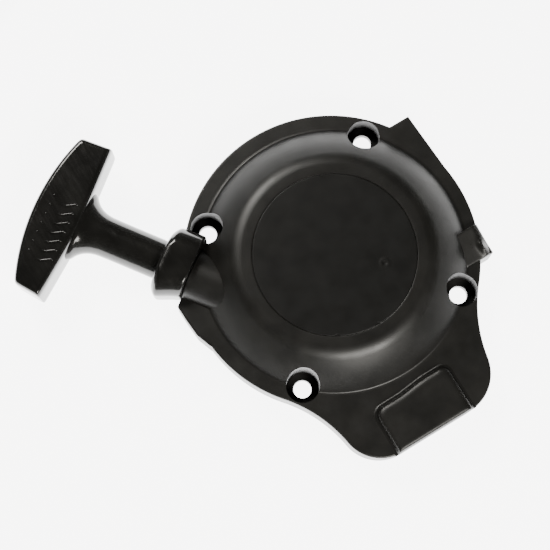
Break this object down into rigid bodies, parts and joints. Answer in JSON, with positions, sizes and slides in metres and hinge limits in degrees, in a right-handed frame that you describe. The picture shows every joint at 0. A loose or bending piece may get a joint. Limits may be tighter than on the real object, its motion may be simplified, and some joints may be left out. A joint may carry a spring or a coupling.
{
  "type": "recoil starter",
  "caption": "Round hand-pull starter housing with a T-grip on a rope, a sprung reel and swing-out pawls that drive an engine's starter cup.",
  "frame": {"origin": "on the crankshaft axis, in the mounting plane where the housing's rim meets the engine", "axes": "+Z away from the engine along the crankshaft axis, +Y up the engine, away from the lower tab"},
  "size_m": [0.1817, 0.1822, 0.0272],
  "materials": {
    "housing_plastic": "satin moulded",
    "disc_plastic": "matte",
    "gloss_plastic": "gloss moulded",
    "reel_nylon": "satin",
    "zinc_steel": "zinc plated",
    "spring_steel": "blued",
    "brass": "turned",
    "rope": "braided"
  },
  "bodies": {
    "housing_assembly": {"housing": "housing_plastic", "face_disc": "disc_plastic", "rope_guide_collar": "gloss_plastic", "rope_eyelet": "zinc_steel", "post_insert": "brass", "spring_case": "zinc_steel", "spring_cover": "zinc_steel", "recoil_spring": "spring_steel", "friction_spring": "spring_steel", "screw_washer": "zinc_steel", "centre_screw": "zinc_steel"},
    "handle": {"handle_grip": "gloss_plastic", "knot_washer": "zinc_steel", "handle_knot": "rope", "rope_lead": "rope"},
    "reel_assembly": {"reel": "reel_nylon", "reel_bush": "brass", "rope_coils": "rope", "reel_knot": "rope", "pawl_pin_a": "zinc_steel", "pawl_pin_b": "zinc_steel", "pawl_spring_a": "spring_steel", "pawl_spring_b": "spring_steel"},
    "guide": {"ratchet_guide": "disc_plastic"},
    "pawl_a_body": {"pawl_a": "zinc_steel"},
    "pawl_b_body": {"pawl_b": "zinc_steel"}
  },
  "joints": [
    {"name": "handle_pull", "type": "slide", "parent": "housing_assembly", "child": "handle", "axis": [-0.5835, 0.8121, 0], "range_m": [0, 0.62], "stiffness_N_per_m": 12, "springref_m": -0.4, "deforming": ["rope_lead"]},
    {"name": "reel_spin", "type": "hinge", "parent": "housing_assembly", "child": "reel_assembly", "pos_m": [0, 0, 0.0147], "axis": [0, 0, 1], "range_deg": [-1310, 0], "deforming": ["recoil_spring"]},
    {"name": "guide_turn", "type": "hinge", "parent": "reel_assembly", "child": "guide", "pos_m": [0, 0, 0.0057], "axis": [0, 0, 1], "range_deg": [0, 24]},
    {"name": "pawl_a_swing", "type": "hinge", "parent": "reel_assembly", "child": "pawl_a_body", "pos_m": [0, 0.0195, 0.0081], "axis": [0, 0, 1], "range_deg": [0, 30], "stiffness_Nm_per_rad": 0.002, "springref_deg": -20.05, "deforming": ["pawl_spring_a"]},
    {"name": "pawl_b_swing", "type": "hinge", "parent": "reel_assembly", "child": "pawl_b_body", "pos_m": [0, -0.0195, 0.0081], "axis": [0, 0, 1], "range_deg": [0, 30], "stiffness_Nm_per_rad": 0.002, "springref_deg": -20.05, "deforming": ["pawl_spring_b"]}
  ],
  "couplings": [
    {"joint": "reel_spin", "follows": "handle_pull", "rad_per_m": -36.765},
    {"joint": "pawl_a_swing", "follows": "guide_turn", "ratio": 1.25},
    {"joint": "pawl_b_swing", "follows": "guide_turn", "ratio": 1.25}
  ]
}
